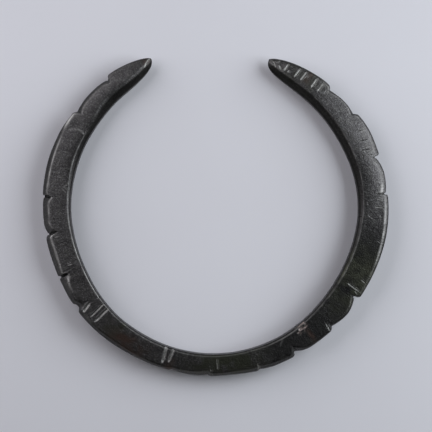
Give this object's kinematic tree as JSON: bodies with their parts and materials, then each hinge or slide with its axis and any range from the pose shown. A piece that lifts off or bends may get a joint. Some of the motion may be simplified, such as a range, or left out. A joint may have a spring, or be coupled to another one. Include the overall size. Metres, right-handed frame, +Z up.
{
  "type": "armilla bracelet",
  "caption": "Ancient bronze armilla: open hoop of D section with leaf-shaped ends, a stepped outer edge, nicks and chisel strokes.",
  "frame": {"origin": "centre of the hoop's bounding box, at the flat underside it lies on", "axes": "+Z up out of the carved upper face, +Y through the gap between the two ends, +X across the hoop"},
  "size_m": [0.0696, 0.064, 0.0052],
  "materials": {
    "patinated_bronze": "near-black satin patina with brown and olive patches, worn brighter on the arrises and in the cuts"
  },
  "bodies": {
    "root": {"armilla_hoop": "patinated_bronze"}
  },
  "joints": []
}
